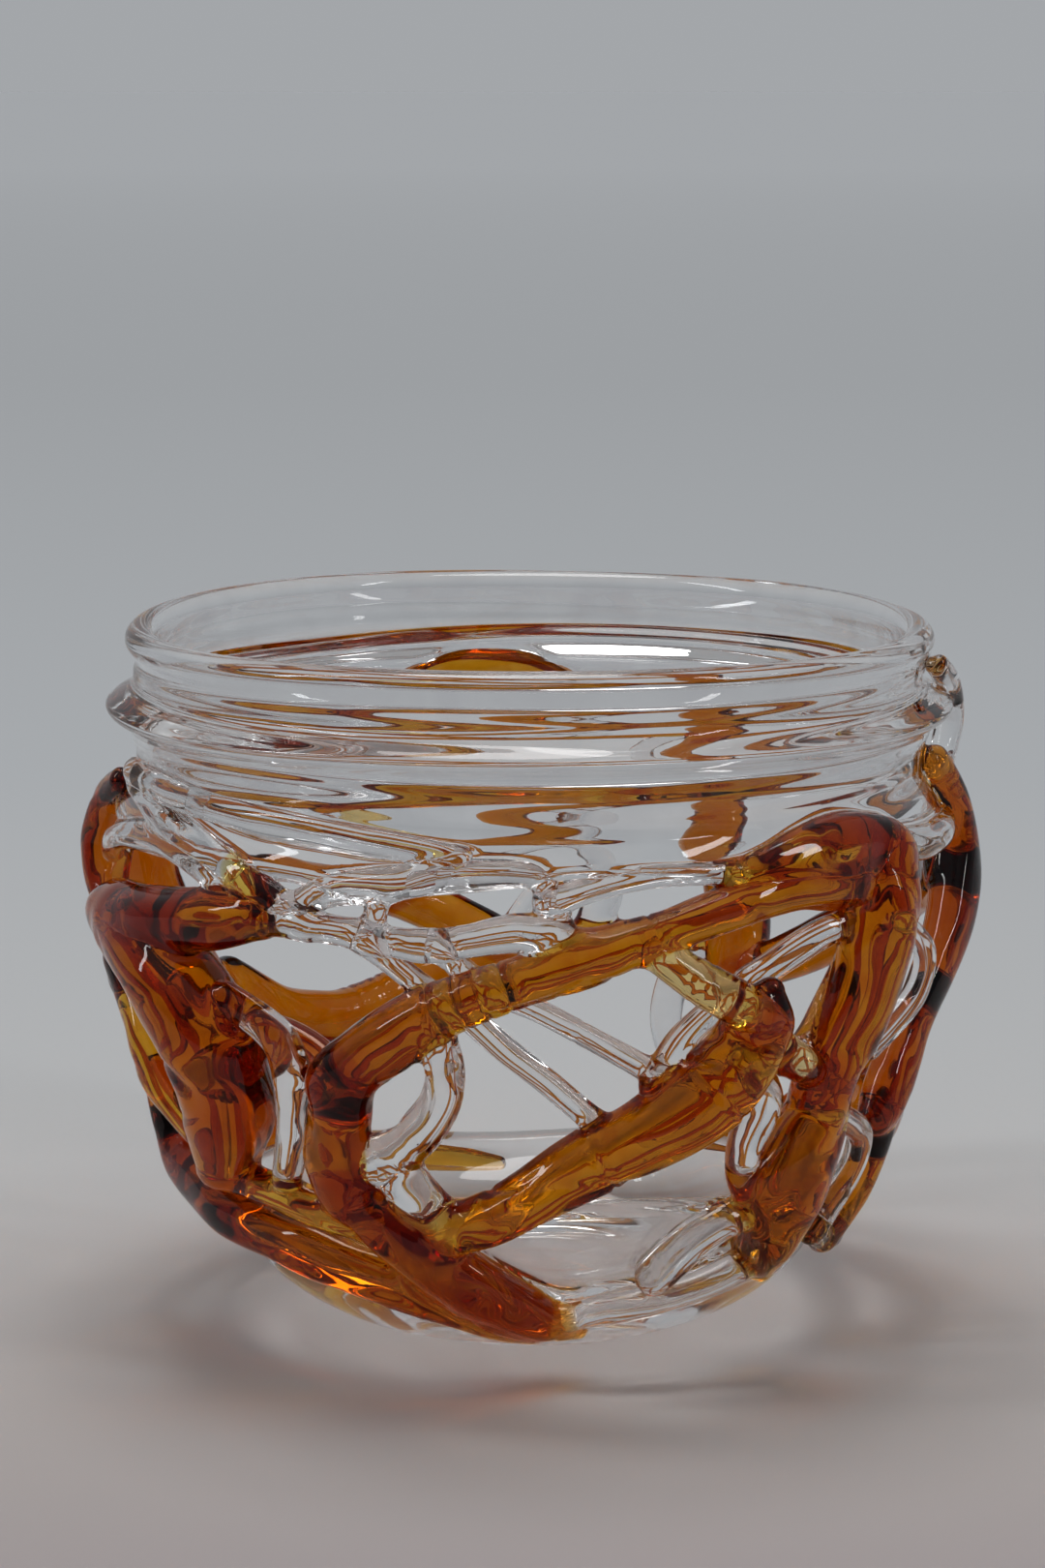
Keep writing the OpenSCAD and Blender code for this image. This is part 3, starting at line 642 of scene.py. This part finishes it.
# Shares of a cane's length at which it has seams and knots
SEAMS = {
    "front_rail": (0.235, 0.275, 0.32, 0.355, 0.61),
    "sweep": (0.50, 0.82),
    "yellow_bridge": (0.42, 0.75),
    "back_rail": (0.4, 0.5),
    "back_diagonal": (0.45,),
    "fine_rods_2": (0.62,),
    "lower_diagonal": (0.9,),
    "right_side_arm": (0.5,),
    "back_sweep": (0.3, 0.36),
}
KNOTS = {
    "girdles_1": (0.22, 0.40, 0.56, 0.88),
    "link": (0.1, 0.95),
    "hairpin_lower": (0.85,),
    "fine_rods_1": (0.02, 0.98),
    "fine_rods_2": (0.02, 0.96),
    "long_brace": (0.5,),
}

NECK_SIZE = 3.2           # what a cane's radius is to the fusing, for the neck and the dish
DISH_SIZE = 4.0
FIRST_SEED = 100

bodies, stands_for = {}, {}
for node in CANE_NODES:
    lines = centrelines(node)
    for k, line in enumerate(lines):
        name = node if len(lines) == 1 else f"{node}_{k + 1}"
        random = np.random.default_rng(FIRST_SEED + len(bodies))
        points, faces = tube(line, random, SEAMS.get(name, ()), KNOTS.get(name, ()))
        bodies[name] = Body(points, faces, float(line[:, 3].mean()))
        stands_for[name] = (node,)
neck_points, neck_faces = blown_neck()
bodies["blown_neck"] = Body(neck_points, neck_faces, NECK_SIZE)
stands_for["blown_neck"] = NECK_NODES
dish_points, dish_faces = dish()
bodies["clear_dish"] = Body(dish_points, dish_faces, DISH_SIZE)
stands_for["clear_dish"] = (DISH_NODE,)

for name, body in bodies.items():
    others = [other for key, other in bodies.items() if key != name
              and np.all(other.low < body.high + NEIGHBOUR_GAP)
              and np.all(other.high > body.low - NEIGHBOUR_GAP)]
    places, depth = fuse(body, others)
    if name == "clear_dish":
        places[:, 2] = np.maximum(places[:, 2], 0)
    nodes_replaced = stands_for[name]
    piece_name = name if name in ("blown_neck", "clear_dish") else name + "_glass"
    add_piece(piece_name, body, places, depth, nodes_replaced, slot_of[nodes_replaced[0]])

# ---------------------------------------------------------------- floor, light and camera, in metres

FLOOR_SIZE = 60.0         # to each side, so that it reaches the horizon
# Painted shade and light on the floor: darker and warmer in front of the bowl, paler just behind it.
FLOOR_TONE_AND_PAINTED_SHADE = (
    # distance behind the middle of the bowl, colour
    (-0.12, (0.51, 0.465, 0.465)),
    (-0.07, (0.55, 0.52, 0.51)),
    (0.08, (0.655, 0.66, 0.665)),
    (0.47, (0.60, 0.62, 0.64)),
    (1.9, (0.58, 0.60, 0.62)),
    (8.0, (0.643, 0.664, 0.688)),
)
ROOM_FRONT = (0.06, 0.062, 0.066)
ROOM_BACK = (0.337, 0.348, 0.362)
ROOM_OVERHEAD = (0.30, 0.305, 0.31)
CEILING_COLOUR = (1.0, 0.985, 0.97)
WINDOW_COLOUR = (0.95, 0.98, 1)
EYE = (-0.001, -0.600, 0.184)
EYE_DOWN = 9.87           # degrees below level that the camera looks
LENS = 93.0               # millimetres, on a frame 36 mm high


def stage_floor():
    """A pale matt floor whose tone changes slowly from front to back, with painted shade darker and warmer in
    front of the bowl and painted light paler just behind it.
    """
    mesh = bpy.data.meshes.new("floor")
    size = FLOOR_SIZE
    corners = [(-size, -size, 0), (size, -size, 0), (size, size, 0), (-size, size, 0)]
    mesh.from_pydata(corners, [], [(0, 1, 2, 3)])
    material = bpy.data.materials.new("floor")
    material.use_nodes = True
    nodes, links = material.node_tree.nodes, material.node_tree.links
    shader = nodes["Principled BSDF"]
    shader.inputs["Roughness"].default_value = 0.9
    shader.inputs["Specular IOR Level"].default_value = 0.1
    place = nodes.new("ShaderNodeTexCoord")
    split = nodes.new("ShaderNodeSeparateXYZ")
    links.new(place.outputs["Object"], split.inputs["Vector"])
    back = nodes.new("ShaderNodeMapRange")
    back.inputs["From Min"].default_value = FLOOR_TONE_AND_PAINTED_SHADE[0][0]
    back.inputs["From Max"].default_value = FLOOR_TONE_AND_PAINTED_SHADE[-1][0]
    links.new(split.outputs["Y"], back.inputs["Value"])
    ramp = nodes.new("ShaderNodeValToRGB")
    stops = ramp.color_ramp.elements
    while len(stops) < len(FLOOR_TONE_AND_PAINTED_SHADE):
        stops.new(0.5)
    for stop, (y, colour) in zip(stops, FLOOR_TONE_AND_PAINTED_SHADE):
        stop.position = (y - FLOOR_TONE_AND_PAINTED_SHADE[0][0]) / (FLOOR_TONE_AND_PAINTED_SHADE[-1][0] - FLOOR_TONE_AND_PAINTED_SHADE[0][0])
        stop.color = (*colour, 1)
    links.new(back.outputs["Result"], ramp.inputs["Fac"])
    links.new(ramp.outputs["Color"], shader.inputs["Base Color"])
    mesh.materials.append(material)
    floor = bpy.data.objects.new("floor", mesh)
    bpy.context.scene.collection.objects.link(floor)


def lamp(name, kind, place, target, energy, colour):
    """A light that looks from one place to another, and isn't seen by the camera itself."""
    data = bpy.data.lights.new(name, kind)
    data.energy = energy
    data.color = colour
    light = bpy.data.objects.new(name, data)
    light.location = place
    light.rotation_euler = (Vector(target) - Vector(place)).to_track_quat("-Z", "Y").to_euler()
    light.visible_camera = False
    bpy.context.scene.collection.objects.link(light)
    return data


def softbox(name, place, width, height, energy, colour=(1, 1, 1)):
    """A rectangular lamp that faces the bowl."""
    data = lamp(name, "AREA", place, (0, 0, 0.06), energy, colour)
    data.shape = "RECTANGLE"
    data.size = width
    data.size_y = height


def ceiling(place, spread, energy, colour):
    """Broad even light from one side of the ceiling, the same over the whole floor."""
    data = lamp("ceiling", "SUN", place, (0, 0, 0), energy, colour)
    data.angle = math.radians(spread)


def studio_world():
    """A grey room: paler behind the bowl and overhead, darker behind the camera."""
    world = bpy.data.worlds.new("studio")
    bpy.context.scene.world = world
    world.use_nodes = True
    nodes, links = world.node_tree.nodes, world.node_tree.links
    back = nodes["Background"]
    place = nodes.new("ShaderNodeTexCoord")
    split = nodes.new("ShaderNodeSeparateXYZ")
    links.new(place.outputs["Generated"], split.inputs["Vector"])
    depth = nodes.new("ShaderNodeMapRange")
    depth.inputs["From Min"].default_value = -0.8
    depth.inputs["From Max"].default_value = 0.8
    links.new(split.outputs["Y"], depth.inputs["Value"])
    ramp = nodes.new("ShaderNodeValToRGB")
    ramp.color_ramp.elements[0].color = (*ROOM_FRONT, 1)
    ramp.color_ramp.elements[1].color = (*ROOM_BACK, 1)
    links.new(depth.outputs["Result"], ramp.inputs["Fac"])
    lift = nodes.new("ShaderNodeMapRange")
    lift.interpolation_type = "SMOOTHSTEP"
    lift.inputs["From Min"].default_value = 0.15
    lift.inputs["From Max"].default_value = 1.0
    links.new(split.outputs["Z"], lift.inputs["Value"])
    mix = nodes.new("ShaderNodeMix")
    mix.data_type = "RGBA"
    mix.inputs["B"].default_value = (*ROOM_OVERHEAD, 1)
    links.new(lift.outputs["Result"], mix.inputs["Factor"])
    links.new(ramp.outputs["Color"], mix.inputs["A"])
    links.new(mix.outputs["Result"], back.inputs["Color"])
    back.inputs["Strength"].default_value = 1.0


def camera():
    """The camera, which looks straight back and a little down."""
    data = bpy.data.cameras.new("camera")
    data.sensor_width = 36.0
    data.lens = LENS
    eye = bpy.data.objects.new("camera", data)
    eye.location = EYE
    eye.rotation_euler = (math.radians(90 - EYE_DOWN), 0, 0)
    bpy.context.scene.collection.objects.link(eye)
    bpy.context.scene.camera = eye


stage_floor()
studio_world()
ceiling((-0.05, 0.2, 1.0), spread=30, energy=0.82, colour=CEILING_COLOUR)
softbox("window_left", (-1.1, -0.25, 1.0), width=0.10, height=0.9, energy=2.0, colour=WINDOW_COLOUR)
softbox("window_right", (0.95, -0.6, 0.8), width=0.08, height=0.6, energy=1.2)
camera()

cycles = bpy.context.scene.cycles
cycles.max_bounces = 48
cycles.transmission_bounces = 48
cycles.glossy_bounces = 16
cycles.diffuse_bounces = 4
cycles.transparent_max_bounces = 48
cycles.sample_clamp_indirect = 6.0
cycles.blur_glossy = 0.1
bpy.context.scene.view_settings.view_transform = "Standard"
bpy.context.scene.view_settings.look = "Medium High Contrast"
